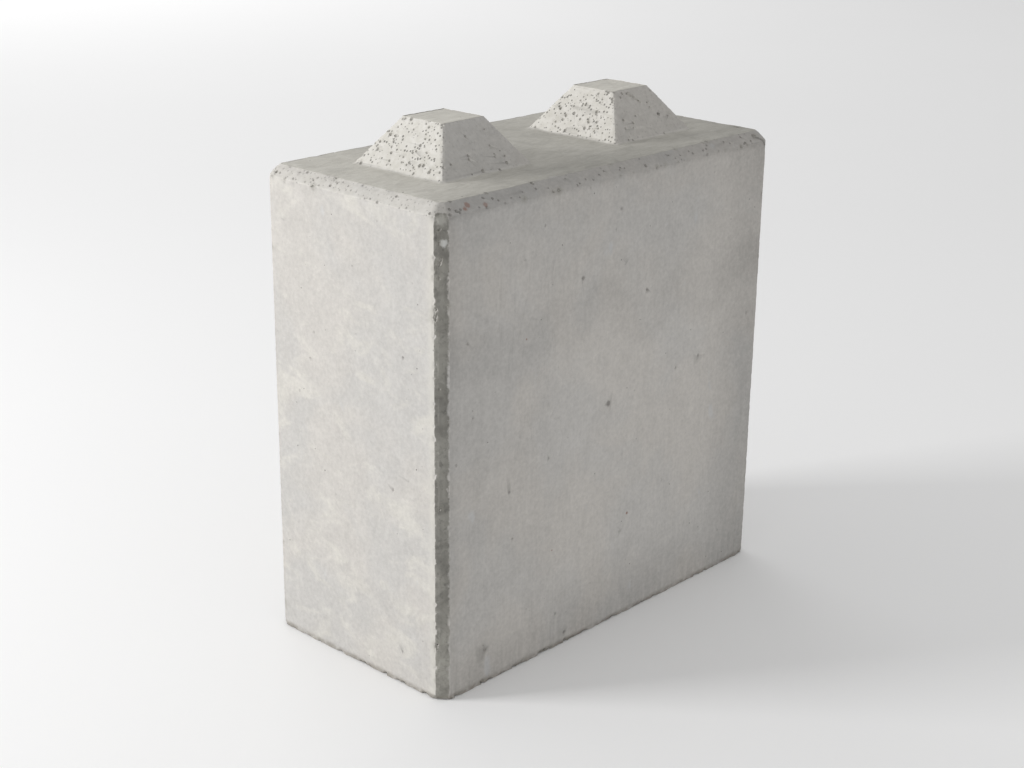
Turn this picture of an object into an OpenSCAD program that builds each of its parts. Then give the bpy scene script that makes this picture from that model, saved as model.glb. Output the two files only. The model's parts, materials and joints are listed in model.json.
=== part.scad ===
// Interlocking reinforced concrete barrier block: one casting with two studs on top and two
// matching sockets underneath, and the steel cage that is cast into it.
// Millimetres, +Z up. The origin is the middle of the flat underside; the long side runs along X.

/* [Block] */
// Length of the body along X
block_l = 800; // [780:10:1000]
// Width of the body along Y
block_w = 400; // [390:10:500]
// Height of the body without its studs
block_h = 800; // [780:10:1000]
// Leg of the 45 degree chamfer on the upright edges
edge_chamfer = 16; // [8:1:20]
// Leg of the 45 degree chamfer around the top
top_chamfer = 18; // [8:1:20]

/* [Studs and sockets] */
// Distance between the two stud centres
stud_pitch = 400; // [380:10:400]
// Side of a stud's square foot
stud_foot = 198; // [180:2:200]
// Side of a stud's square top
stud_top = 90; // [90:2:110]
// Height of a stud
stud_h = 75; // [65:1:80]
// Gap all round between a stud and the socket that it enters
stud_play = 8; // [5:1:10]

/* [Cage] */
// Diameter of the upright bars
upright_d = 12; // [10:1:12]
// Diameter of the links
link_d = 8; // [6:1:8]
// Diameter of the longitudinal bars and the hairpins
inner_d = 10; // [8:1:10]
// Depth of a link's centre line behind the upright faces
link_depth = 40; // [38:1:44]
// Distance of the lowest link from the underside, and of the highest from the top
link_end = 60; // [56:1:64]
// Centre line radius of a link's bends
link_bend = 20; // [18:1:22]
// Diameter of the weld that closes a link
weld_d = 10; // [9:0.5:11]
// Gap between bars where they cross, which cement paste fills
bar_gap = 0.6; // [0.5:0.1:1]
// Distance of an upright bar's ends from the underside and from the top
bar_end = 30; // [28:1:34]
// Distance between the two side bars of one long face
side_pitch = 234; // [200:2:260]
// Distance between the legs of a stud's hairpin
hairpin_w = 60; // [50:2:64]
// Length of a hairpin's straight legs
hairpin_leg = 250; // [150:10:350]
// Distance of a hairpin's crown below the top of its stud
crown_cover = 30; // [25:1:40]

/* [Small parts] */
// Diameter of the tie wire
wire_d = 1.6; // [1.4:0.1:2]
// Length of a tie's twisted tail
tail_l = 16; // [10:1:20]
// Concrete left outside the plastic parts
skin = 2; // [1:0.5:3]
// Thickness of a cover wheel
wheel_t = 12; // [8:1:14]
// Outer diameter of a foot cap
cap_d = 24; // [20:1:26]

/* [Hidden] */

$fn = 32;
concrete_colour = [0.66, 0.65, 0.62];
steel_colour = [0.42, 0.28, 0.20];
wire_colour = [0.25, 0.24, 0.24];
plastic_colour = [0.45, 0.47, 0.48];

link_count = 5;
link_half = [block_l / 2 - link_depth, block_w / 2 - link_depth];
link_step = (block_h - 2 * link_end) / (link_count - 1);

// How far a cutting shape reaches past the face that it cuts.
overcut = 1;

weld_l = 8;
tie_slack = 1.1;
tie_room = 17;

// Distances between the centre lines of two bars that cross.
upright_to_link = upright_d / 2 + bar_gap + link_d / 2;
inner_to_link = inner_d / 2 + bar_gap + link_d / 2;
inner_to_upright = inner_d / 2 + bar_gap + upright_d / 2;

upright_l = block_h - 2 * bar_end;
corner_in = (link_bend - upright_to_link) / sqrt(2);
corner_at = [for (half = link_half) half - link_bend + corner_in];
side_y = link_half[1] - upright_to_link;
end_x = link_half[0] - upright_to_link;

long_bar_l = block_l - 2 * bar_end;
bottom_bar_y = corner_at[1] - inner_to_upright;
bottom_bar_z = link_end + inner_to_link + tie_room;
top_bar_y = hairpin_w / 2 + inner_d + bar_gap;
top_bar_z = block_h - link_end - inner_to_link;
crown_z = block_h + stud_h - crown_cover - inner_d / 2;

wheel_r = block_w / 2 - side_y - skin;
wheel_rim = 5;
wheel_spoke = 4;
spoke_inset = 2;
wheel_fit = 0.3;
wheel_heights = [link_end + link_step / 2, block_h - link_end - link_step / 2];
cap_wall_top = link_end - tie_ring_r(upright_d, link_d) - skin;

corners = [[-1, -1], [1, -1], [1, 1], [-1, 1]];
ends = [-1, 1];

function link_z(i) = link_end + i * link_step;
// Radius of a tie's ring round two bars that cross.
function tie_ring_r(first_d, second_d) = (first_d + bar_gap + second_d + wire_d) / 2 + tie_slack;
// The end of the block at which a link's weld lies changes from link to link.
function weld_side(i) = ends[i % 2];

// ---- Concrete ----

// A wall of the body's height whose top arrises are chamfered, as wide as twice half.
module chamfered_slab(half, length) {
    rotate([90, 0, 0])
        linear_extrude(height = length, center = true)
            polygon([
                [-half, 0], [half, 0], [half, block_h - top_chamfer], [half - top_chamfer, block_h],
                [top_chamfer - half, block_h], [-half, block_h - top_chamfer]
            ]);
}

// The body, with its upright edges and its top arrises chamfered all round.
module body_shape() {
    reach = 2 * (block_l + block_w);
    diagonal_half = (block_l / 2 + block_w / 2 - edge_chamfer) / sqrt(2);
    intersection() {
        chamfered_slab(block_l / 2, reach);
        rotate([0, 0, 90]) chamfered_slab(block_w / 2, reach);
        rotate([0, 0, 45]) chamfered_slab(diagonal_half, reach);
        rotate([0, 0, -45]) chamfered_slab(diagonal_half, reach);
    }
}

// A square pyramid cut off at its top, standing on z = 0.
module frustum(foot, top, height) {
    intersection_for(turn = [0, 90])
        rotate([90, 0, turn])
            linear_extrude(height = 2 * foot, center = true)
                polygon([[-foot / 2, 0], [foot / 2, 0], [top / 2, height], [-top / 2, height]]);
}

module stud() {
    frustum(stud_foot, stud_top, stud_h);
}

// The stud's shape, larger by the play on every face. Its mouth starts under the block, for a clean cut.
module socket() {
    slope = (stud_foot - stud_top) / stud_h;
    below = 5;
    height = stud_h + stud_play + below;
    mouth = stud_foot + 2 * stud_play + slope * below;
    translate([0, 0, -below]) frustum(mouth, mouth - slope * height, height);
}

module casting() {
    difference() {
        union() {
            body_shape();
            for (side = ends) translate([side * stud_pitch / 2, 0, block_h]) stud();
        }
        for (side = ends) translate([side * stud_pitch / 2, 0, 0]) socket();
    }
}

module concrete_block() {
    color(concrete_colour)
        difference() {
            casting();
            cage();
        }
}

// ---- Bars ----

module upright_bar(place) {
    color(steel_colour)
        translate([place[0], place[1], bar_end])
            cylinder(h = upright_l, d = upright_d);
}

module corner_bar(i) {
    upright_bar([corners[i][0] * corner_at[0], corners[i][1] * corner_at[1]]);
}

module side_bar(i) {
    upright_bar([corners[i][0] * side_pitch / 2, corners[i][1] * side_y]);
}

module end_bar(side) {
    upright_bar([side * end_x, 0]);
}

module long_bar(y, z) {
    color(steel_colour)
        translate([-long_bar_l / 2, y, z])
            rotate([0, 90, 0])
                cylinder(h = long_bar_l, d = inner_d);
}

// Part of a ring of round bar around the z axis, between two angles.
module bend(radius, d, from, to) {
    rotate([0, 0, from])
        rotate_extrude(angle = to - from)
            translate([radius, 0])
                circle(d = d);
}

// A straight stretch of link from a point, along a direction in the xy plane.
module link_leg(start, direction, length) {
    translate(start)
        rotate([0, 0, direction])
            rotate([0, 90, 0])
                cylinder(h = length, d = link_d);
}

// A closed rectangle of bar that lies flat around the upright bars, with one weld in an end leg.
module link(i) {
    straight = [for (half = link_half) half - link_bend];
    color(steel_colour)
        translate([0, 0, link_z(i)]) {
            for (turn = [0 : 3])
                translate([corners[turn][0] * straight[0], corners[turn][1] * straight[1]])
                    bend(link_bend, link_d, 180 + 90 * turn, 270 + 90 * turn);
            link_leg([-straight[0], -link_half[1]], 0, 2 * straight[0]);
            link_leg([link_half[0], -straight[1]], 90, 2 * straight[1]);
            link_leg([straight[0], link_half[1]], 180, 2 * straight[0]);
            link_leg([-link_half[0], straight[1]], 270, 2 * straight[1]);
            translate([weld_side(i) * link_half[0], straight[1] / 2, 0])
                rotate([90, 0, 0])
                    cylinder(h = weld_l, d = weld_d, center = true);
        }
}

// An upside-down U of bar, whose crown stands inside a stud and whose legs reach down into the body.
module stud_hairpin(side) {
    radius = hairpin_w / 2;
    spring_z = crown_z - radius;
    color(steel_colour)
        translate([side * stud_pitch / 2, 0, spring_z]) {
            rotate([90, 0, 90]) bend(radius, inner_d, 0, 180);
            for (leg = ends)
                translate([0, leg * radius, -hairpin_leg])
                    cylinder(h = hairpin_leg, d = inner_d);
        }
}

// ---- Ties ----

// A wire ring round two bars that cross: the first along z through the origin, the second along x,
// beyond it in +y. Its twisted tail points the other way.
module tie(first_d, second_d) {
    ring_y = (second_d + bar_gap) / 2;
    ring_r = tie_ring_r(first_d, second_d);
    translate([0, ring_y, 0]) {
        rotate([0, 45, 0])
            difference() {
                cylinder(h = wire_d, r = ring_r + wire_d / 2, center = true);
                cylinder(h = wire_d + 2 * overcut, r = ring_r - wire_d / 2, center = true);
            }
        translate([0, -ring_r, 0])
            rotate([90, 0, 0])
                cylinder(h = tail_l, d = 2 * wire_d);
    }
}

// Ties of one link to its upright bars.
module link_ties(i) {
    for (corner = corners) {
        translate([corner[0] * corner_at[0], corner[1] * corner_at[1], 0])
            rotate([0, 0, atan2(corner[1], corner[0]) - 90])
                tie(upright_d, link_d);
        translate([corner[0] * side_pitch / 2, corner[1] * side_y, 0])
            rotate([0, 0, 90 * corner[1] - 90])
                tie(upright_d, link_d);
    }
    for (side = ends)
        translate([side * end_x, 0, 0])
            rotate([0, 0, -90 * side])
                tie(upright_d, link_d);
}

// Ties of the longitudinal bars: at the bottom to the corner bars, at the top to the highest link
// and to the hairpins.
module long_bar_ties() {
    for (end = ends, side = ends) {
        translate([end * corner_at[0], side * bottom_bar_y, bottom_bar_z])
            rotate([0, 90, 90 * side - 90])
                tie(inner_d, upright_d);
        translate([end * link_half[0], side * top_bar_y, top_bar_z])
            rotate([90, 0, 90])
                tie(inner_d, link_d);
        translate([end * stud_pitch / 2, side * top_bar_y, top_bar_z])
            rotate([0, 90, -90 * side - 90])
                tie(inner_d, inner_d);
    }
}

module tie_wires() {
    color(wire_colour) {
        for (i = [0 : link_count - 1])
            translate([0, 0, link_z(i)]) link_ties(i);
        long_bar_ties();
    }
}

// ---- Plastic parts ----

// A spoked wheel on an upright bar, which keeps the bar off the mould.
module cover_wheel() {
    bore_r = upright_d / 2 + wheel_fit;
    hub_r = bore_r + wheel_rim;
    difference() {
        union() {
            cylinder(h = wheel_t, r = hub_r, center = true);
            difference() {
                cylinder(h = wheel_t, r = wheel_r, center = true, $fn = 64);
                cylinder(h = wheel_t + 2 * overcut, r = wheel_r - wheel_rim, center = true, $fn = 64);
            }
            for (turn = [0 : 45 : 135])
                rotate([0, 0, turn])
                    cube([2 * (wheel_r - wheel_rim / 2), wheel_spoke, wheel_t - 2 * spoke_inset], center = true);
        }
        cylinder(h = wheel_t + 2 * overcut, r = bore_r, center = true);
    }
}

module cover_wheels() {
    color(plastic_colour)
        for (z = wheel_heights) {
            for (corner = corners)
                translate([corner[0] * side_pitch / 2, corner[1] * side_y, z]) cover_wheel();
            for (side = ends)
                translate([side * end_x, 0, z]) cover_wheel();
        }
}

// A cup under a corner bar, in which the bar stands clear of the mould's floor.
module foot_caps() {
    seat_d = upright_d + 2 * wheel_fit;
    color(plastic_colour)
        for (corner = corners)
            translate([corner[0] * corner_at[0], corner[1] * corner_at[1], skin])
                difference() {
                    cylinder(h = cap_wall_top - skin, d = cap_d);
                    translate([0, 0, bar_end - skin]) cylinder(h = cap_wall_top, d = seat_d);
                }
}

// Everything that is cast in.
module cage() {
    for (i = [0 : 3]) {
        corner_bar(i);
        side_bar(i);
    }
    for (side = ends) {
        end_bar(side);
        long_bar(side * bottom_bar_y, bottom_bar_z);
        long_bar(side * top_bar_y, top_bar_z);
        stud_hairpin(side);
    }
    for (i = [0 : link_count - 1]) link(i);
    tie_wires();
    cover_wheels();
    foot_caps();
}

concrete_block();
corner_bar(0);  // corner_bar_1
corner_bar(1);  // corner_bar_2
corner_bar(2);  // corner_bar_3
corner_bar(3);  // corner_bar_4
side_bar(0);  // side_bar_1
side_bar(1);  // side_bar_2
side_bar(2);  // side_bar_3
side_bar(3);  // side_bar_4
end_bar(-1);  // end_bar_1
end_bar(1);  // end_bar_2
link(0);  // link_1
link(1);  // link_2
link(2);  // link_3
link(3);  // link_4
link(4);  // link_5
long_bar(-bottom_bar_y, bottom_bar_z);  // bottom_bar_front
long_bar(bottom_bar_y, bottom_bar_z);  // bottom_bar_rear
long_bar(-top_bar_y, top_bar_z);  // top_bar_front
long_bar(top_bar_y, top_bar_z);  // top_bar_rear
stud_hairpin(-1);  // stud_hairpin_1
stud_hairpin(1);  // stud_hairpin_2
tie_wires();
cover_wheels();
foot_caps();
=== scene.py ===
import json
import math
import random

import bmesh
import bpy
import numpy as np
from mathutils import Matrix, Vector
from mathutils.kdtree import KDTree


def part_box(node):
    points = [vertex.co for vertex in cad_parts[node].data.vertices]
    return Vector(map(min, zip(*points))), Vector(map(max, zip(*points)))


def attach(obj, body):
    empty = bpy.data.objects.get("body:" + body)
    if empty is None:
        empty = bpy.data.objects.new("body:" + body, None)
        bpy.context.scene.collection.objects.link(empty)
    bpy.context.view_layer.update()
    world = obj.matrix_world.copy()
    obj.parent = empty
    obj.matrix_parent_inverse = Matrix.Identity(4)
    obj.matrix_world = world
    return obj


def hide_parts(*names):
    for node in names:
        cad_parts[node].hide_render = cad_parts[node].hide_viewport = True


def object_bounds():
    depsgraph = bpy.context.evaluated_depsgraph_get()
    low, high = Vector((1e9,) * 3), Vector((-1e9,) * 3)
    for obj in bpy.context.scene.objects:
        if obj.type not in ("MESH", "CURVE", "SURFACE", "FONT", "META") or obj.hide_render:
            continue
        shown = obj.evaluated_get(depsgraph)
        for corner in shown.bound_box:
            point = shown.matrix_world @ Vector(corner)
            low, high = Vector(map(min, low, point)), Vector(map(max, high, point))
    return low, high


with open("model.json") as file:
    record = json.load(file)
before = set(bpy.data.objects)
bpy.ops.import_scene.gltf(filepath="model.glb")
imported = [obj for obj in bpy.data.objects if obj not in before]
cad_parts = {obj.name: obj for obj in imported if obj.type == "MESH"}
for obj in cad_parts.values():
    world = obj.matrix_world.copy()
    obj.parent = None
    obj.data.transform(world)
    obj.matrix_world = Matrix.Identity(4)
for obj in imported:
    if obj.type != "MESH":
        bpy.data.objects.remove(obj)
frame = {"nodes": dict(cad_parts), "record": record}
cad_low, cad_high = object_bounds()

# ---- Sizes, in metres, from the frame ----
MM = 0.001
mounts = {mount["name"]: Vector(mount["pos_m"]) for mount in frame["record"]["mounts"]}
block_low, block_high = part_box("concrete_block")
HALF_L = block_high.x
HALF_W = block_high.y
TOP = mounts["top_landing"].z
STUD_X = mounts["stud_right"].x
STUD_H = block_high.z - TOP
EDGE_CHAMFER = 16 * MM
TOP_CHAMFER = 18 * MM
STUD_FOOT = 99 * MM      # half the foot's side
STUD_TOP = 45 * MM       # half the top's side
SOCKET_MOUTH = 107 * MM  # half the mouth's side
SOCKET_H = 83 * MM
SOCKET_ROOF = SOCKET_MOUTH - SOCKET_H * (STUD_FOOT - STUD_TOP) / STUD_H
RIM = TOP - TOP_CHAMFER


# ---- Editing helpers ----
def only(piece):
    """Makes a piece the one selected and active object."""
    bpy.ops.object.select_all(action="DESELECT")
    piece.select_set(True)
    bpy.context.view_layer.objects.active = piece


def edit(piece, kind):
    """Opens a piece in edit mode with nothing selected; kind is VERT, EDGE or FACE."""
    only(piece)
    bpy.ops.object.mode_set(mode="EDIT")
    bpy.ops.mesh.select_mode(type=kind)
    bpy.ops.mesh.select_all(action="DESELECT")


def pick(piece, kind, wanted):
    """Selects, in edit mode, just the elements for which wanted(element) is true."""
    bpy.ops.mesh.select_mode(type=kind)
    bpy.ops.mesh.select_all(action="DESELECT")
    shape = bmesh.from_edit_mesh(piece.data)
    elements = {"VERT": shape.verts, "EDGE": shape.edges, "FACE": shape.faces}[kind]
    for element in elements:
        if wanted(element):
            element.select_set(True)
    shape.select_flush_mode()
    bmesh.update_edit_mesh(piece.data)


def object_mode():
    bpy.ops.object.mode_set(mode="OBJECT")


def settle(piece):
    """Applies a piece's place, turn and scale, so that its place is in its mesh."""
    only(piece)
    bpy.ops.object.transform_apply(location=True, rotation=True, scale=True)


def apply_modifier(piece, kind, **settings):
    only(piece)
    modifier = piece.modifiers.new(kind.lower(), kind)
    for name, value in settings.items():
        setattr(modifier, name, value)
    bpy.ops.object.modifier_apply(modifier=modifier.name)


def points_of(piece):
    points = np.empty(len(piece.data.vertices) * 3, np.float32)
    piece.data.vertices.foreach_get("co", points)
    return points.reshape(-1, 3).astype(float)


def normals_of(piece):
    normals = np.empty(len(piece.data.vertices) * 3, np.float32)
    piece.data.vertices.foreach_get("normal", normals)
    return normals.reshape(-1, 3).astype(float)


def set_points(piece, points):
    piece.data.vertices.foreach_set("co", points.astype(np.float32).ravel())
    piece.data.update()


def store(piece, name, values):
    """Keeps one number per vertex under a name that the material reads."""
    layer = piece.data.attributes.new(name, "FLOAT", "POINT")
    layer.data.foreach_set("value", np.clip(values, 0, 1).astype(np.float32))


# ---- Random surfaces ----
def lattice_noise(points, cell, seed):
    """Smooth random values from 0 to 1 whose lumps are about one cell across."""
    grid = points / cell
    base = np.floor(grid).astype(np.int64)
    part = grid - base
    part = part * part * (3 - 2 * part)
    total = np.zeros(len(points))
    for corner in np.ndindex(2, 2, 2):
        at = base + corner
        mixed = at[:, 0] * 73856093 ^ at[:, 1] * 19349663 ^ at[:, 2] * 83492791 ^ seed * 2654435
        mixed = (mixed ^ mixed >> 13) * 1274126177
        mixed = (mixed ^ mixed >> 16) & 0xFFFF
        weight = np.where(np.array(corner, bool), part, 1 - part).prod(axis=1)
        total += mixed / 0xFFFF * weight
    return total


def fractal_noise(points, cell, seed, octaves=3):
    total = sum(lattice_noise(points, cell / 2**k, seed + k) / 2**k for k in range(octaves))
    return total / (2 - 2 ** (1 - octaves))


# ---- Outlines and arrises of the block ----
def octagon(half_l, half_w, chamfer, z):
    quarter = [(half_l, half_w - chamfer), (half_l - chamfer, half_w)]
    ring = [Vector((x, y, z)) for x, y in quarter]
    ring += [Vector((-x, y, z)) for x, y in reversed(quarter)]
    ring += [Vector((-x, -y, z)) for x, y in quarter]
    ring += [Vector((x, -y, z)) for x, y in reversed(quarter)]
    return ring


def square(x, half, z):
    return [Vector((x + i * half, j * half, z)) for i, j in ((1, 1), (-1, 1), (-1, -1), (1, -1))]


def ring_lines(ring):
    return list(zip(ring, ring[1:] + ring[:1]))


def distance_to(points, lines, reach):
    """Distance from each point to the nearest of some lines, as far as reach."""
    nearest = np.full(len(points), reach)
    for start, end in lines:
        a, b = np.array(start), np.array(end)
        box_low, box_high = np.minimum(a, b) - reach, np.maximum(a, b) + reach
        close = np.flatnonzero(((points > box_low) & (points < box_high)).all(axis=1))
        along = b - a
        t = np.clip((points[close] - a) @ along / (along @ along), 0, 1)
        gap = np.linalg.norm(points[close] - a - t[:, None] * along, axis=1)
        nearest[close] = np.minimum(nearest[close], gap)
    return nearest


FOOT_RING = octagon(HALF_L, HALF_W, EDGE_CHAMFER, 0)
RIM_RING = octagon(HALF_L, HALF_W, EDGE_CHAMFER, RIM)
LANDING_RING = octagon(
    HALF_L - TOP_CHAMFER, HALF_W - TOP_CHAMFER, EDGE_CHAMFER - TOP_CHAMFER * (2 - math.sqrt(2)), TOP)
UPRIGHT_LINES = list(zip(FOOT_RING, RIM_RING))
STUD_CENTRES = (-STUD_X, STUD_X)


# ---- The casting ----
def make_casting():
    """The block, chamfered, with two studs drawn up out of its top and two sockets pressed into its foot."""
    bpy.ops.mesh.primitive_cube_add(
        size=1, location=(0, 0, TOP / 2), scale=(2 * HALF_L, 2 * HALF_W, TOP))
    casting = bpy.context.object
    casting.name = "block_casting"
    settle(casting)
    edit(casting, "EDGE")
    pick(casting, "EDGE", lambda e: abs(e.verts[0].co.z - e.verts[1].co.z) > TOP / 2)
    bpy.ops.mesh.bevel(offset=EDGE_CHAMFER, segments=1, affect="EDGES")
    pick(casting, "EDGE", lambda e: min(v.co.z for v in e.verts) > TOP - MM)
    bpy.ops.mesh.bevel(offset=TOP_CHAMFER, segments=1, affect="EDGES")
    for half in (STUD_FOOT, SOCKET_MOUTH):
        cuts = [(STUD_X * i + half * j, 0) for i in (-1, 1) for j in (-1, 1)]
        cuts += [(0, half * j) for j in (-1, 1)]
        for x, y in cuts:
            bpy.ops.mesh.select_all(action="SELECT")
            normal = (1, 0, 0) if x else (0, 1, 0)
            bpy.ops.mesh.bisect(plane_co=(x, y, 0), plane_no=normal)
    for x in STUD_CENTRES:
        draw_out(casting, x, TOP, STUD_FOOT, STUD_TOP, STUD_H)
        draw_out(casting, x, 0, SOCKET_MOUTH, SOCKET_ROOF, SOCKET_H)
    bpy.ops.mesh.select_all(action="SELECT")
    bpy.ops.mesh.normals_make_consistent(inside=False)
    object_mode()
    return casting


def draw_out(casting, x, z, foot, top, height):
    """Extrudes the square patch around (x, 0, z) upwards and narrows its end."""
    def in_patch(face):
        middle = face.calc_center_median()
        level = abs(middle.z - z) < MM and abs(face.normal.z) > 0.9
        return level and abs(middle.x - x) < foot and abs(middle.y) < foot
    pick(casting, "FACE", in_patch)
    bpy.ops.mesh.extrude_region_move(TRANSFORM_OT_translate={"value": (0, 0, height)})
    bpy.ops.transform.resize(value=(top / foot, top / foot, 1), center_override=(x, 0, z + height))


def refine(casting):
    """Turns the plain casting into an even, fine skin, finest where the surface is rough."""
    apply_modifier(casting, "REMESH", mode="VOXEL", voxel_size=2.5 * MM)
    edit(casting, "FACE")

    def rough(face):
        middle = face.calc_center_median()
        on_stud = middle.z > TOP + MM
        on_rim = RIM - 3 * MM < middle.z < TOP - 0.1 * MM
        on_near_edge = middle.x < 6 * MM - HALF_L + EDGE_CHAMFER and middle.y < 6 * MM - HALF_W + EDGE_CHAMFER
        on_far_edge = middle.x > HALF_L - EDGE_CHAMFER and middle.y < EDGE_CHAMFER - HALF_W
        return on_stud or on_rim or on_near_edge or on_far_edge
    pick(casting, "FACE", rough)
    bpy.ops.mesh.subdivide(number_cuts=1)
    object_mode()


class Sculptor:
    """Moves the skin's points inwards, and remembers where it left holes and broken faces."""

    def __init__(self, casting):
        self.piece = casting
        self.points = points_of(casting)
        self.start = self.points.copy()
        self.normals = normals_of(casting)
        self.tree = KDTree(len(self.points))
        for i, point in enumerate(self.points):
            self.tree.insert(point, i)
        self.tree.balance()
        self.holes = []
        self.breaks = []

    def press(self, depth):
        """Moves every point inwards by its own depth."""
        self.points -= self.normals * depth[:, None]

    def wear(self, lines, width, depth, cell, seed, sharpness=2):
        """Rubs arrises down unevenly."""
        gap = distance_to(self.points, lines, width)
        near = np.flatnonzero(gap < width)
        lumps = fractal_noise(self.points[near], cell, seed) ** sharpness
        fade = 1 - (gap[near] / width) ** 2
        self.points[near] -= self.normals[near] * (depth * lumps * fade)[:, None]

    def scoop(self, centre, radius, roughness, seed, marks, stretch=(1, 1, 1)):
        """Presses the skin straight inwards, onto an uneven ball that may be longer along each axis."""
        centre = np.array(centre)
        stretch = np.array(stretch)
        reach = radius * (1 + roughness) * stretch.max()
        found = [i for _, i, _ in self.tree.find_range(Vector(centre), reach * 1.2)]
        if not found:
            return
        away = (self.points[found] - centre) / stretch
        inward = self.normals[found] / stretch
        lumps = lattice_noise(self.points[found], radius * 0.7, seed) - 0.5
        edge = radius * (1 + 2 * roughness * lumps)
        square_in = (inward * inward).sum(axis=1)
        along = (away * inward).sum(axis=1)
        under_root = along ** 2 - square_in * ((away * away).sum(axis=1) - edge ** 2)
        inside = (away * away).sum(axis=1) < edge ** 2
        depth = (along + np.sqrt(np.maximum(under_root, 0))) / square_in
        picked = np.array(found)[inside]
        self.points[picked] -= self.normals[picked] * depth[inside, None]
        marks.append((centre, reach))

    def finish(self):
        """Takes back whatever was moved outwards, and hands the points to the casting."""
        outward = np.einsum("ij,ij->i", self.points - self.start, self.normals)
        self.points -= self.normals * np.maximum(outward, 0)[:, None]
        set_points(self.piece, self.points)


def sculpt(casting):
    skin = Sculptor(casting)
    points = skin.points
    flat_face = np.abs(skin.normals).max(axis=1) > 0.999
    # the steel mould's faces are a little out of true
    skin.press(0.7 * MM * fractal_noise(points, 0.17, 3, 2) * flat_face)
    # the landing and the stud tops were struck off and trowelled by hand
    trowelled = (skin.normals[:, 2] > 0.9)
    sweep = points * np.array([0.35, 1, 1])
    skin.press(trowelled * (1.3 * MM * fractal_noise(sweep, 0.045, 11) ** 1.5))
    # arrises
    stud_lines = []
    for x in STUD_CENTRES:
        foot = square(x, STUD_FOOT, TOP)
        crown = square(x, STUD_TOP, TOP + STUD_H)
        stud_lines += ring_lines(crown) + list(zip(foot, crown))
    near_lines = [line for line in UPRIGHT_LINES if line[0].x < 0 and line[0].y < 0]
    skin.wear(UPRIGHT_LINES, 7 * MM, 1.6 * MM, 9 * MM, 21)
    skin.wear(near_lines, 7 * MM, 3.2 * MM, 7 * MM, 22, 3)
    skin.wear(ring_lines(RIM_RING), 8 * MM, 1.2 * MM, 12 * MM, 23)
    skin.wear(ring_lines(LANDING_RING), 9 * MM, 1.8 * MM, 16 * MM, 24, 1)
    skin.wear(ring_lines(FOOT_RING), 9 * MM, 4.5 * MM, 14 * MM, 25, 2)
    skin.wear(stud_lines, 5 * MM, 1.6 * MM, 7 * MM, 26, 1)
    chip_arrises(skin)
    pit_faces(skin)
    hand_placed_damage(skin)
    skin.finish()
    return skin


def chip_arrises(skin):
    """Small broken places along the arrises, most of them along the foot."""
    rng = random.Random(17)
    runs = [
        (UPRIGHT_LINES, 70, 3.2), (ring_lines(FOOT_RING), 80, 4.5),
        (ring_lines(RIM_RING), 40, 2.6), (ring_lines(LANDING_RING), 26, 2.8)]
    for lines, count, biggest in runs:
        for _ in range(count):
            start, end = rng.choices(lines, [(b - a).length for a, b in lines])[0]
            place = start.lerp(end, rng.random())
            radius = biggest * MM * rng.uniform(0.45, 1) ** 1.5
            outward = Vector((place.x, place.y, 0)).normalized() * radius * 0.45
            longer = (1 + rng.random(), 1 + rng.random(), 1 + 1.5 * rng.random())
            skin.scoop(place + outward, radius, 0.5, rng.randrange(999), skin.breaks, longer)


def pit_faces(skin):
    """Air holes: thick on the studs' slopes and on the top chamfer, few on the big faces."""
    rng = random.Random(29)
    slope = math.atan2(STUD_FOOT - STUD_TOP, STUD_H)
    for x in STUD_CENTRES:
        for turn in range(4):
            count = 44 if turn == 0 else 14
            for _ in range(count):
                up = rng.random()
                half = STUD_FOOT + (STUD_TOP - STUD_FOOT) * up
                across = rng.uniform(-half, half)
                out = Vector((-half, across, TOP + STUD_H * up))
                out.xy = Matrix.Rotation(turn * math.pi / 2, 2) @ out.xy
                out.x += x
                radius = MM * (1.6 + 1.4 * rng.random() ** 3)
                skin.scoop(out, radius, 0.2, 5, skin.holes)
    lines = list(zip(RIM_RING, LANDING_RING))
    sides = list(zip(lines, lines[1:] + lines[:1]))
    weights = [(a[0] - b[0]).length for a, b in sides]
    for _ in range(150):
        (low_a, high_a), (low_b, high_b) = rng.choices(sides, weights)[0]
        along, up = rng.random(), rng.random() ** 1.3
        place = low_a.lerp(low_b, along).lerp(high_a.lerp(high_b, along), up)
        skin.scoop(place, MM * (1.4 + 1.3 * rng.random() ** 3), 0.2, 5, skin.holes)
    for _ in range(90):
        end_face = rng.random() < 0.35
        z = rng.uniform(0.01, RIM)
        side = rng.choice((-1, 1))
        if end_face:
            place = (side * HALF_L, rng.uniform(-1, 1) * (HALF_W - EDGE_CHAMFER), z)
        else:
            place = (rng.uniform(-1, 1) * (HALF_L - EDGE_CHAMFER), side * HALF_W, z)
        skin.scoop(place, MM * (1.3 + 1.2 * rng.random() ** 2), 0.2, 5, skin.holes)


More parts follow.
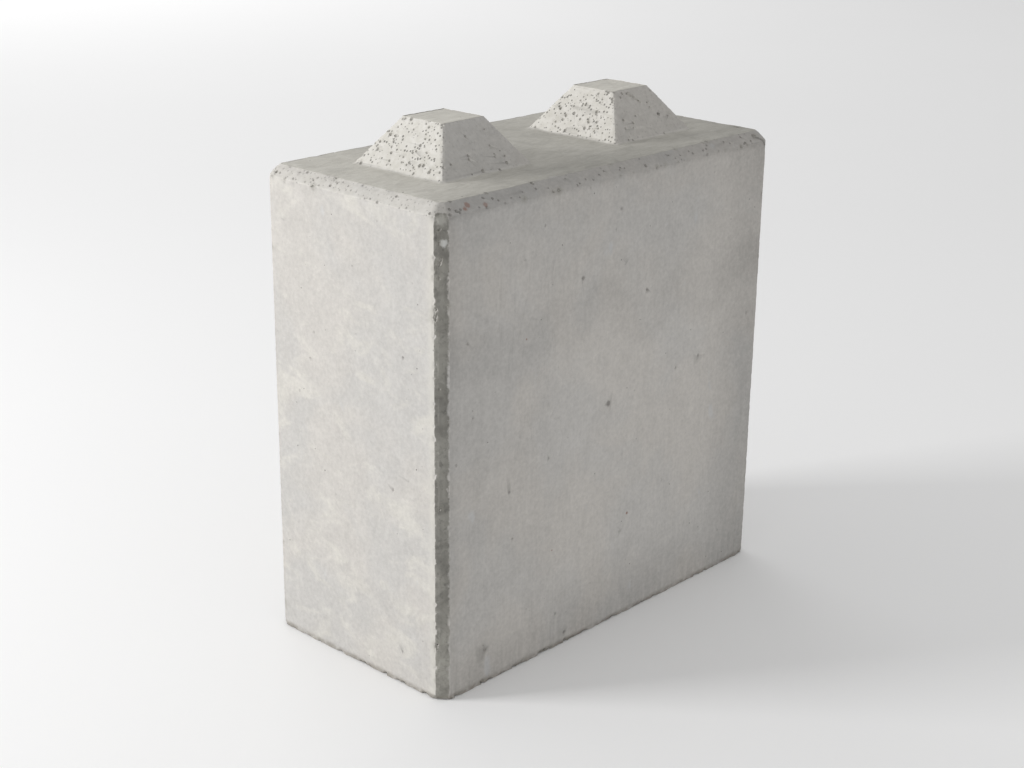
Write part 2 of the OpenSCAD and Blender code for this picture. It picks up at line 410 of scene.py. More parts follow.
def hand_placed_damage(skin):
    """The larger holes, the gouge in the right stud, and the cracked far corner."""
    front_holes = [
        (-0.089, 0.631, 2.4), (-0.018, 0.403, 3.2), (0.072, 0.579, 2.0), (0.220, 0.429, 2.2),
        (-0.162, 0.347, 1.8), (-0.253, 0.316, 2.0), (-0.306, 0.058, 2.8), (-0.115, 0.020, 2.4)]
    for x, z, radius in front_holes:
        skin.scoop((x, -HALF_W, z), radius * MM, 0.3, 7, skin.holes, (1, 1, 1.4))
    # holes in the right stud's front slope
    for x, y, z, radius in ((0.238, -0.077, 0.830, 3), (0.165, -0.053, 0.864, 2), (0.166, -0.081, 0.825, 2.2)):
        skin.scoop((x, y, z), radius * MM, 0.3, 8, skin.holes)
    gouge = [Vector((0.188, -0.052, 0.868)), Vector((0.197, -0.056, 0.859)), Vector((0.207, -0.061, 0.852))]
    for k in range(9):
        place = gouge[0].lerp(gouge[2], k / 8)
        skin.scoop(place, (3.4 - 0.22 * k) * MM, 0.4, 9, skin.breaks)
    # left stud: broken front corner of its crown
    skin.scoop((-STUD_X - STUD_TOP - MM, -STUD_TOP - MM, TOP + STUD_H), 4.5 * MM, 0.4, 12, skin.breaks)
    # the far top corner: a gouge at the rim and a crack that runs down to the edge
    skin.scoop((0.362, -0.192, 0.792), 4.5 * MM, 0.4, 13, skin.breaks, (1.6, 1, 1))
    crack = [(0.362, -0.192, 0.790), (0.369, -0.195, 0.787), (0.376, -0.199, 0.783),
             (0.385, -0.199, 0.770), (0.391, -0.193, 0.752)]
    for a, b in zip(crack, crack[1:]):
        for k in range(8):
            place = Vector(a).lerp(Vector(b), k / 8)
            skin.scoop(place, 1.8 * MM, 0.3, 14 + k, skin.holes)
    for x, y, z, radius in ((0.395, -0.190, 0.735, 5), (0.393, -0.194, 0.700, 4), (0.396, -0.188, 0.655, 4.5),
                            (0.394, -0.192, 0.545, 6), (0.396, -0.19, 0.610, 3), (0.372, -0.146, 0.802, 6)):
        skin.scoop((x, y, z), radius * MM, 0.5, 31, skin.breaks, (1, 1, 1.8))
    # the near edge: one deep hole in the chamfer and the nicks around it
    for z, radius in ((0.715, 5), (0.743, 3.5), (0.690, 3), (0.762, 3), (0.52, 3), (0.33, 3.5), (0.21, 2.5)):
        skin.scoop((4 * MM - HALF_L, 12 * MM - HALF_W - 3 * MM, z), radius * MM, 0.5, 41, skin.breaks, (1, 1, 1.5))


def thin_out(casting, most_triangles):
    """Leaves small triangles only where the surface needs them."""
    triangles = sum(len(face.vertices) - 2 for face in casting.data.polygons)
    apply_modifier(casting, "DECIMATE", ratio=min(1, most_triangles / triangles))
    set_points(casting, np.clip(points_of(casting), cad_low, cad_high))


def nearness(points, marks):
    """How far inside the nearest mark each point lies: 0 outside them all, over 1 in the middle."""
    tree = KDTree(len(points))
    for i, point in enumerate(points):
        tree.insert(point, i)
    tree.balance()
    values = np.zeros(len(points))
    for centre, reach in marks:
        for _, i, gap in tree.find_range(Vector(centre), reach):
            values[i] = max(values[i], 1.3 - 1.1 * gap / reach)
    return values


def true_up_slopes(casting, skin):
    """Brings the studs' slopes back to true planes between their holes, after the thinning."""
    points = points_of(casting)
    unmarked = nearness(points, skin.holes + skin.breaks) == 0
    for x in STUD_CENTRES:
        foot = square(x, STUD_FOOT, TOP)
        crown = square(x, STUD_TOP, TOP + STUD_H)
        arrises = ring_lines(foot) + ring_lines(crown) + list(zip(foot, crown))
        clear = unmarked & (distance_to(points, arrises, 6 * MM) > 5 * MM)
        for turn in range(4):
            quarter = Matrix.Rotation(turn * math.pi / 2, 3, "Z")
            out = quarter @ Vector((-STUD_H, 0, STUD_FOOT - STUD_TOP)).normalized()
            origin = Vector((x, 0, TOP)) + quarter @ Vector((-STUD_FOOT, 0, 0))
            depth = (np.array(origin) - points) @ np.array(out)
            near_x = np.abs(points[:, 0] - x) < STUD_FOOT
            dented = clear & near_x & (np.abs(depth) < 1.5 * MM) & (points[:, 2] > TOP + MM)
            points[dented] += depth[dented, None] * np.array(out)
    set_points(casting, points)


def mark_surface(casting, skin):
    """Writes, for the material, where the surface is holed, broken or trowelled, and how much pale paste and pin
    holes it has, with painted light on the slopes and chamfers that face the key.
    """
    points = points_of(casting)
    normals = normals_of(casting)
    store(casting, "hole", nearness(points, skin.holes))
    store(casting, "broken", nearness(points, skin.breaks))
    on_stud = (points[:, 2] > TOP + MM) & (normals[:, 2] < 0.8)
    on_rim = (points[:, 2] > RIM - 2 * MM) & (normals[:, 2] < 0.85)
    facing_left = np.clip(-normals[:, 0] * 1.4, 0, 1)
    # painted light: pale paste and pin holes go mostly on the stud slopes and chamfers that face -X, towards the key
    # light
    store(casting, "speckled_and_painted_light", on_stud * (0.15 + 0.85 * facing_left) + on_rim * ~on_stud * facing_left * 0.5)
    store(casting, "trowelled", (points[:, 2] > TOP - 2 * MM) * np.clip(normals[:, 2] * 6 - 4.6, 0, 1))
    near = (points[:, 0] < EDGE_CHAMFER - HALF_L + MM) & (points[:, 1] < EDGE_CHAMFER - HALF_W + MM)
    slanted = (normals[:, 0] < -0.3) & (normals[:, 1] < -0.3)
    store(casting, "lime_skin", near & slanted & (points[:, 2] < RIM + 4 * MM))


# ---- The cage ----
RIB_PITCH = 7.5 * MM
CORE_SHARE = 0.93        # a bar's core, as a share of its diameter over the ribs
BAR_GAP = 0.6 * MM
LINK_D = 8 * MM
LINK_BEND = 20 * MM
WELD_Y = 70 * MM
WELD_L = 8 * MM
WIRE = 1.6 * MM
TIE_SLACK = 1.1 * MM
TAIL_L = 16 * MM


def ribbed_bar(name, length, diameter):
    """A straight ribbed bar along X from the origin, modelled as one rib and repeated."""
    count = round(length / RIB_PITCH)
    pitch = length / count
    bpy.ops.mesh.primitive_cylinder_add(
        vertices=12, radius=diameter / 2, depth=pitch, end_fill_type="NOTHING",
        location=(pitch / 2, 0, 0), rotation=(0, math.pi / 2, 0))
    bar = bpy.context.object
    bar.name = name
    settle(bar)
    edit(bar, "EDGE")
    for k in range(1, 5):
        bpy.ops.mesh.select_all(action="SELECT")
        bpy.ops.mesh.bisect(plane_co=(k * pitch / 5, 0, 0), plane_no=(1, 0, 0))
    object_mode()
    points = points_of(bar)
    angle = np.arctan2(points[:, 2], points[:, 1])
    side = np.sign(np.sin(angle))
    lean = points[:, 0] / pitch + 0.3 * np.cos(angle) * side
    rib = np.clip(np.cos(2 * np.pi * lean), 0, 1) * np.abs(np.sin(angle)) ** 0.6
    seam = np.abs(np.cos(angle)) > 0.99
    share = CORE_SHARE + (1 - CORE_SHARE) * np.where(seam, 0.8, rib)
    points[:, 1:] *= share[:, None]
    set_points(bar, points)
    apply_modifier(bar, "ARRAY", count=count, use_merge_vertices=True, merge_threshold=0.02 * MM)
    for end in (0, length):
        edit(bar, "EDGE")
        pick(bar, "EDGE", lambda e: all(abs(v.co.x - end) < 0.01 * MM for v in e.verts))
        bpy.ops.mesh.edge_face_add()
        object_mode()
    edit(bar, "FACE")
    bpy.ops.mesh.select_all(action="SELECT")
    bpy.ops.mesh.normals_make_consistent(inside=False)
    object_mode()
    return bar


def copy_of(piece, name):
    """A copy with its own mesh."""
    twin = piece.copy()
    twin.data = piece.data.copy()
    twin.name = name
    bpy.context.scene.collection.objects.link(twin)
    return twin


def stand(bar, place, upright):
    """Moves a bar that lies along X to a place, upright or as it lies."""
    if upright:
        bar.rotation_euler = (0, -math.pi / 2, 0)
    bar.location = place
    settle(bar)


def bend_along(bar, path, closed):
    """Bends a straight bar along a path of points."""
    curve = bpy.data.curves.new("bending_path", "CURVE")
    curve.dimensions = "3D"
    spline = curve.splines.new("POLY")
    spline.points.add(len(path) - 1)
    for point, place in zip(spline.points, path):
        point.co = (*place, 1)
    spline.use_cyclic_u = closed
    guide = bpy.data.objects.new("bending_path", curve)
    bpy.context.scene.collection.objects.link(guide)
    apply_modifier(bar, "CURVE", object=guide, deform_axis="POS_X")
    bpy.data.objects.remove(guide)


def arc(centre, radius, start, end, steps=16):
    """Points of an arc in the XY plane, in degrees."""
    turns = [math.radians(start + (end - start) * k / steps) for k in range(steps + 1)]
    return [Vector(centre) + radius * Vector((math.cos(t), math.sin(t), 0)) for t in turns]


def path_length(path, closed):
    ends = path[1:] + path[:1] if closed else path[1:]
    return sum((b - a).length for a, b in zip(path, ends))


def make_link(node):
    """A closed, welded rectangle of ribbed bar."""
    low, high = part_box(node)
    side = 1 if high.x > -low.x else -1
    half_x = min(-low.x, high.x) - LINK_D / 2
    half_y = high.y - LINK_D / 2
    z = (low.z + high.z) / 2
    x, y = half_x - LINK_BEND, half_y - LINK_BEND
    path = [Vector((half_x, WELD_Y, z))]
    path += arc((x, y, z), LINK_BEND, 0, 90) + arc((-x, y, z), LINK_BEND, 90, 180)
    path += arc((-x, -y, z), LINK_BEND, 180, 270) + arc((x, -y, z), LINK_BEND, 270, 360)
    path = [Vector((side * p.x, p.y, p.z)) for p in path]
    bar = ribbed_bar("welded_" + node, path_length(path, True), LINK_D)
    bend_along(bar, path, True)
    bead = make_bead()
    bead.location = (side * half_x, WELD_Y, z)
    settle(bead)
    bpy.ops.object.select_all(action="DESELECT")
    bead.select_set(True)
    bar.select_set(True)
    bpy.context.view_layer.objects.active = bar
    bpy.ops.object.join()
    return bar


def make_bead():
    """The bead of a butt weld round a bar along Y, a little thicker than the bar."""
    bpy.ops.mesh.primitive_cylinder_add(
        vertices=20, radius=LINK_D / 2 + 0.9 * MM, depth=WELD_L, rotation=(math.pi / 2, 0, 0))
    bead = bpy.context.object
    settle(bead)
    edit(bead, "EDGE")
    pick(bead, "EDGE", lambda e: abs(e.verts[0].co.y - e.verts[1].co.y) < MM)
    bpy.ops.mesh.bevel(offset=2 * MM, segments=4, affect="EDGES")
    bpy.ops.mesh.select_all(action="SELECT")
    bpy.ops.mesh.subdivide(number_cuts=1)
    object_mode()
    points = points_of(bead)
    ripple = fractal_noise(points, 2.5 * MM, 51, 2) * 0.6 * MM
    set_points(bead, points - normals_of(bead) * ripple[:, None])
    return bead


def make_hairpin(node):
    """A U of ribbed bar, whose crown stands inside a stud."""
    low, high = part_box(node)
    diameter = high.x - low.x
    x, radius = (low.x + high.x) / 2, high.y - diameter / 2
    spring = high.z - diameter / 2 - radius
    flat = arc((0, 0, 0), radius, 0, 180, 24)
    path = [Vector((x, radius, low.z))]
    path += [Vector((x, p.x, spring + p.y)) for p in flat]
    path += [Vector((x, -radius, low.z))]
    bar = ribbed_bar("bent_" + node, path_length(path, False), diameter)
    bend_along(bar, path, False)
    return bar


def make_tie(first_d, second_d):
    """A doubled wire ring round two crossing bars: the first along z, the second beyond it in +y."""
    radius = (first_d + BAR_GAP + second_d + WIRE) / 2 + TIE_SLACK
    ring_y = (second_d + BAR_GAP) / 2
    strand = WIRE / 4
    rings = []
    for side in (-1, 1):
        bpy.ops.mesh.primitive_torus_add(
            major_segments=28, minor_segments=6, major_radius=radius, minor_radius=strand * 1.05,
            location=(0, 0, side * strand))
        rings.append(bpy.context.object)
        settle(rings[-1])
    for side in (-1, 1):
        bpy.ops.mesh.primitive_circle_add(
            vertices=6, radius=strand * 1.6, location=(side * strand * 1.7, 0, 0), fill_type="NGON")
        rings.append(bpy.context.object)
        settle(rings[-1])
        edit(rings[-1], "FACE")
        bpy.ops.mesh.select_all(action="SELECT")
        for _ in range(12):
            bpy.ops.mesh.extrude_region_move(TRANSFORM_OT_translate={"value": (0, 0, -TAIL_L / 12)})
            bpy.ops.transform.rotate(value=math.radians(50), orient_axis="Z", center_override=(0, 0, 0))
        object_mode()
        rings[-1].rotation_euler = (-math.pi / 2, 0, 0)
        rings[-1].location = (0, -radius, 0)
        settle(rings[-1])
    for ring in rings[:2]:
        ring.rotation_euler = (0, math.radians(45), 0)
        settle(ring)
    bpy.ops.object.select_all(action="DESELECT")
    for ring in rings:
        ring.select_set(True)
    bpy.context.view_layer.objects.active = rings[0]
    bpy.ops.object.join()
    tie = rings[0]
    tie.location = (0, ring_y, 0)
    settle(tie)
    edit(tie, "FACE")
    bpy.ops.mesh.select_all(action="SELECT")
    bpy.ops.mesh.normals_make_consistent(inside=False)
    object_mode()
    return tie


def middle(node):
    low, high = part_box(node)
    return (low + high) / 2


def make_ties():
    """Every crossing of the cage is tied: its kind, its place, its way to the second bar, its first bar's way."""
    up, along = Vector((0, 0, 1)), Vector((1, 0, 0))
    corner, side_bar, end_bar = middle("corner_bar_3"), middle("side_bar_3"), middle("end_bar_2")
    bottom, top, link_5 = middle("bottom_bar_rear"), middle("top_bar_rear"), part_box("link_5")
    link_x = min(-link_5[0].x, link_5[1].x) - LINK_D / 2
    places = []
    for link in range(1, 6):
        z = middle(f"link_{link}").z
        for i in (-1, 1):
            for j in (-1, 1):
                places.append(("upright", (i * corner.x, j * corner.y, z), Vector((i, j, 0)), up))
                places.append(("upright", (i * side_bar.x, j * side_bar.y, z), Vector((0, j, 0)), up))
            places.append(("upright", (i * end_bar.x, 0, z), Vector((i, 0, 0)), up))
    for i in (-1, 1):
        for j in (-1, 1):
            places.append(("to_upright", (i * corner.x, j * bottom.y, bottom.z), Vector((0, j, 0)), along))
            places.append(("to_link", (i * link_x, j * top.y, top.z), up, along))
            places.append(("to_hairpin", (i * STUD_X, j * top.y, top.z), Vector((0, -j, 0)), along))
    kinds = {
        "upright": make_tie(12 * MM, LINK_D), "to_upright": make_tie(10 * MM, 12 * MM),
        "to_link": make_tie(10 * MM, LINK_D), "to_hairpin": make_tie(10 * MM, 10 * MM)}
    ties = []
    for kind, place, outward, way in places:
        y = outward.normalized()
        tie = copy_of(kinds[kind], "tie")
        turn = Matrix((y.cross(way), y, way)).transposed().to_4x4()
        tie.matrix_world = Matrix.Translation(place) @ turn
        settle(tie)
        ties.append(tie)
    for pattern in kinds.values():
        bpy.data.objects.remove(pattern)
    bpy.ops.object.select_all(action="DESELECT")
    for tie in ties:
        tie.select_set(True)
    bpy.context.view_layer.objects.active = ties[0]
    bpy.ops.object.join()
    ties[0].name = "twisted_ties"
    return ties[0]


def finish_piece(piece, material, node):
    only(piece)
    bpy.ops.object.shade_smooth_by_angle(angle=math.radians(50))
    piece.data.materials.append(material)
    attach(piece, "root")
    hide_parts(node)


def make_cage():
    steel, wire, plastic = rusty_steel(), black_wire(), spacer_plastic()
    uprights = [f"corner_bar_{k}" for k in range(1, 5)] + [f"side_bar_{k}" for k in range(1, 5)]
    uprights += ["end_bar_1", "end_bar_2"]
    runs = ["bottom_bar_front", "bottom_bar_rear", "top_bar_front", "top_bar_rear"]
    for nodes, standing in ((uprights, True), (runs, False)):
        low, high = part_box(nodes[0])
        length = high.z - low.z if standing else high.x - low.x
        pattern = ribbed_bar("pattern", length, high.y - low.y)
        for node in nodes:
            bar = copy_of(pattern, "ribbed_" + node)
            low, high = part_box(node)
            foot = middle(node)
            if standing:
                foot.z = low.z
            else:
                foot.x = low.x
            stand(bar, foot, standing)
            finish_piece(bar, steel, node)
        bpy.data.objects.remove(pattern)
    for k in range(1, 6):
        finish_piece(make_link(f"link_{k}"), steel, f"link_{k}")
    for k in (1, 2):
        finish_piece(make_hairpin(f"stud_hairpin_{k}"), steel, f"stud_hairpin_{k}")
    finish_piece(make_ties(), wire, "tie_wires")
    for node in ("cover_wheels", "foot_caps"):
        frame["nodes"][node].data.materials[0] = plastic


# ---- Materials ----
class Sheet:
    """A material or a shader group being wired up."""

    def __init__(self, tree):
        self.tree = tree

    def add(self, kind, inputs=None, **settings):
        node = self.tree.nodes.new("ShaderNode" + kind)
        for name, value in settings.items():
            setattr(node, name, value)
        for name, value in (inputs or {}).items():
            self.feed(node.inputs[name], value)
        return node

    def feed(self, socket, value):
        if isinstance(value, bpy.types.NodeSocket):
            self.tree.links.new(value, socket)
        elif isinstance(value, bpy.types.Node):
            self.tree.links.new(value.outputs[0], socket)
        elif socket.type == "RGBA" and len(value) == 3:
            socket.default_value = (*value, 1)
        else:
            socket.default_value = value

    def math(self, operation, *values, clamp=False):
        node = self.add("Math", operation=operation, use_clamp=clamp)
        for socket, value in zip(node.inputs, values):
            self.feed(socket, value)
        return node.outputs[0]

    def times(self, *values):
        total = values[0]
        for value in values[1:]:
            total = self.math("MULTIPLY", total, value)
        return total

    def ramp(self, value, low, high):
        """0 below low, 1 above high, smooth between; falls instead where low is above high."""
        node = self.add("MapRange", {"Value": value, "From Min": low, "From Max": high},
                        interpolation_type="SMOOTHSTEP")
        return node.outputs[0]

    def band(self, value, low, high, soft):
        """1 from low to high, fading to 0 over soft outside."""
        return self.times(self.ramp(value, low - soft, low), self.ramp(value, high + soft, high))

    def mix(self, share, first, second, blend="MIX"):
        node = self.add("Mix", data_type="RGBA", blend_type=blend)
        self.feed(node.inputs["Factor"], share)
        self.feed(node.inputs[6], first)
        self.feed(node.inputs[7], second)
        return node.outputs[2]

    def shade(self, colour, share, factor):
        """Multiplies a colour by factor where share is 1."""
        return self.mix(share, colour, tuple(factor for _ in range(3)), "MULTIPLY")

    def place(self, scale=(1, 1, 1), turn=(0, 0, 0)):
        coordinates = self.add("TexCoord").outputs["Object"]
        if scale == (1, 1, 1) and turn == (0, 0, 0):
            return coordinates
        return self.add("Mapping", {"Vector": coordinates, "Scale": scale, "Rotation": turn}).outputs[0]

    def noise(self, vector, size, detail=4.0, roughness=0.55, distortion=0.0):
        node = self.add("TexNoise", {
            "Vector": vector, "Scale": 1 / size, "Detail": detail,
            "Roughness": roughness, "Distortion": distortion})
        return node.outputs[0]

    def attribute(self, name):
        return self.add("Attribute", attribute_name=name).outputs["Fac"]


WARM_PASTE = (0.530, 0.508, 0.478)
COOL_PASTE = (0.505, 0.491, 0.470)
CREAM_PASTE = (0.61, 0.59, 0.54)
LANDING_DARK = (0.41, 0.395, 0.355)
LANDING_LIGHT = (0.53, 0.515, 0.47)
PALE_DARK = (0.61, 0.59, 0.535)
PALE_LIGHT = (0.72, 0.70, 0.655)
GROUT_DARK = (0.155, 0.15, 0.132)
GROUT_LIGHT = (0.27, 0.263, 0.235)
RUST_SPOTS = [
    ((0.040, -0.2, 0.189), 0.0035, 0.8), ((-0.150, -0.2, 0.182), 0.0025, 0.6),
    ((-0.218, -0.2, 0.560), 0.0025, 0.6), ((-0.340, -0.192, 0.790), 0.007, 0.6),
    ((-0.348, -0.195, 0.786), 0.005, 0.65), ((-0.306, -0.196, 0.786), 0.006, 0.5)]


def new_group(name, inputs, outputs):
    """An empty shader group with named number inputs and outputs."""
    group = bpy.data.node_groups.new(name, "ShaderNodeTree")
    for label, default in inputs.items():
        kind = "NodeSocketVector" if isinstance(default, tuple) else "NodeSocketFloat"
        socket = group.interface.new_socket(label, in_out="INPUT", socket_type=kind)
        socket.default_value = default
    for label in outputs:
        group.interface.new_socket(label, in_out="OUTPUT", socket_type="NodeSocketFloat")
    return Sheet(group), group.nodes.new("NodeGroupInput"), group.nodes.new("NodeGroupOutput")


def use_group(sheet, name, **inputs):
    """Places a shader group and gives its one output."""
    node = sheet.tree.nodes.new("ShaderNodeGroup")
    node.node_tree = bpy.data.node_groups[name]
    for label, value in inputs.items():
        sheet.feed(node.inputs[label], value)
    return node.outputs[0]


def make_groups():
    # sand: fine grain of a given size, as one value around a half
    sheet, start, end = new_group("sand_grain", {"Size": 0.002}, ["Grain"])
    where = sheet.place()
    scale = sheet.math("DIVIDE", 1.0, start.outputs["Size"])
    coarse = sheet.add("TexNoise", {"Vector": where, "Scale": scale, "Detail": 4.0, "Roughness": 0.6})
    fine = sheet.add("TexNoise", {"Vector": where, "Scale": sheet.times(scale, 3.1), "Detail": 2.0})
    grain = sheet.math("ADD", sheet.times(coarse.outputs[0], 0.6), sheet.times(fine.outputs[0], 0.4))
    sheet.feed(end.inputs["Grain"], grain)

    # pin holes: round spots of uneven size, in a share of the cells of a loose grid
    sheet, start, end = new_group("pin_holes", {"Cell": 0.01, "Radius": 0.2, "Share": 0.5}, ["Hole"])
    scale = sheet.math("DIVIDE", 1.0, start.outputs["Cell"])
    cells = sheet.add("TexVoronoi", {"Vector": sheet.place(), "Scale": scale})
    chance = sheet.add("SeparateColor", {"Color": cells.outputs["Color"]})
    kept = sheet.math("LESS_THAN", chance.outputs[0], start.outputs["Share"])
    radius = sheet.times(start.outputs["Radius"], sheet.math("ADD", 0.35, chance.outputs[1]))
    inside = sheet.ramp(cells.outputs["Distance"], radius, sheet.times(radius, 0.55))
    sheet.feed(end.inputs["Hole"], sheet.times(inside, kept))

    # a soft round spot around one place
    sheet, start, end = new_group("spot", {"Centre": (0.0, 0.0, 0.0), "Radius": 0.005}, ["Spot"])
    gap = sheet.add("VectorMath", operation="DISTANCE")
    sheet.feed(gap.inputs[0], sheet.place())
    sheet.feed(gap.inputs[1], start.outputs["Centre"])
    ragged = sheet.noise(sheet.place(), 0.004, 3.0)
    reach = sheet.times(start.outputs["Radius"], sheet.math("ADD", 0.4, sheet.times(ragged, 1.2)))
    sheet.feed(end.inputs["Spot"], sheet.ramp(gap.outputs["Value"], reach, sheet.times(reach, 0.4)))

    # rust in patches with ragged borders
    sheet, start, end = new_group("rust_bloom", {"Size": 0.02, "Spread": 0.5}, ["Rust"])
    scale = sheet.math("DIVIDE", 1.0, start.outputs["Size"])
    patches = sheet.add("TexNoise", {"Vector": sheet.place(), "Scale": scale, "Detail": 7.0, "Roughness": 0.65})
    edge = sheet.math("SUBTRACT", 1.0, start.outputs["Spread"])
    sheet.feed(end.inputs["Rust"], sheet.ramp(
        patches.outputs[0], sheet.math("SUBTRACT", edge, 0.12), sheet.math("ADD", edge, 0.12)))


def new_material(name, **shader_values):
    material = bpy.data.materials.new(name)
    material.use_nodes = True
    sheet = Sheet(material.node_tree)
    shader = material.node_tree.nodes["Principled BSDF"]
    for label, value in shader_values.items():
        sheet.feed(shader.inputs[label.replace("_", " ")], value)
    return material, sheet, shader


def concrete_tone(sheet, cloud, fleck, mottle, grain):
    """The patchy brightness of the cast faces, as a factor around 1."""
    position = sheet.add("SeparateXYZ", {"Vector": sheet.place()})
    x, y, z = position.outputs
    facing = sheet.add("SeparateXYZ", {"Vector": sheet.add("NewGeometry").outputs["Normal"]})
    facing_y = facing.outputs[1]
    on_side = sheet.ramp(sheet.math("ABSOLUTE", facing_y), 0.8, 0.95)
    # hairlines left by the rising paste, strongest low down
    hairline = sheet.noise(sheet.place((1, 1, 0.045)), 0.0034, 3.0, 0.6)
    broad_line = sheet.noise(sheet.place((1, 1, 0.06)), 0.011, 3.0, 0.6)
    lines = sheet.math("ADD", sheet.times(hairline, 0.6), sheet.times(broad_line, 0.4))
    strength = sheet.math("ADD", 0.13, sheet.times(sheet.ramp(z, 0.45, 0.05), 0.13))
    lines = sheet.times(sheet.math("SUBTRACT", lines, 0.5), strength, on_side)
    tone = sheet.math("ADD", 1.0, lines)
    for value, amount in ((cloud, 0.22), (fleck, 0.20), (mottle, 0.34), (grain, 0.26)):
        tone = sheet.math("ADD", tone, sheet.times(sheet.math("SUBTRACT", value, 0.5), amount))
    # the middle of the long side is a little lighter than its two ends
    middle_glow = sheet.times(sheet.band(x, -0.08, 0.20, 0.16), sheet.band(z, 0.15, 0.52, 0.1), on_side)
    tone = sheet.math("ADD", tone, sheet.times(middle_glow, 0.08))
    near_end = sheet.times(sheet.ramp(x, -0.27, -0.34), on_side)
    tone = sheet.math("SUBTRACT", tone, sheet.times(near_end, 0.05))
    # a wavering darker band where one batch was poured on another
    waver = sheet.noise(sheet.place((1, 1, 0.3)), 0.16, 3.0, 0.5)
    level = sheet.math("ADD", z, sheet.times(sheet.math("SUBTRACT", waver, 0.5), 0.22))
    pour = sheet.times(sheet.band(level, 0.545, 0.585, 0.035), sheet.ramp(cloud, 0.3, 0.6), on_side)
    tone = sheet.math("SUBTRACT", tone, sheet.times(pour, 0.10))
    # darker under the top and towards the foot, and along one end of the long side
    top_shade = sheet.times(sheet.ramp(z, 0.69, 0.775), sheet.ramp(cloud, 0.35, 0.6), on_side)
    tone = sheet.math("SUBTRACT", tone, sheet.times(top_shade, 0.09))
    foot_shade = sheet.times(sheet.ramp(z, 0.11, 0.01), sheet.ramp(broad_line, 0.2, 0.7), on_side)
    tone = sheet.math("SUBTRACT", tone, sheet.times(foot_shade, 0.15))
    end_shade = sheet.times(sheet.ramp(x, 0.22, 0.39), on_side)
    tone = sheet.math("SUBTRACT", tone, sheet.times(end_shade, 0.13))
    # grout has stained the long side beside one upright edge, in uneven patches
    stain = sheet.times(sheet.ramp(x, -0.355, -0.385), sheet.ramp(fleck, 0.25, 0.6), on_side)
    tone = sheet.math("SUBTRACT", tone, sheet.times(stain, 0.12))
    return tone, (x, y, z), facing_y, on_side


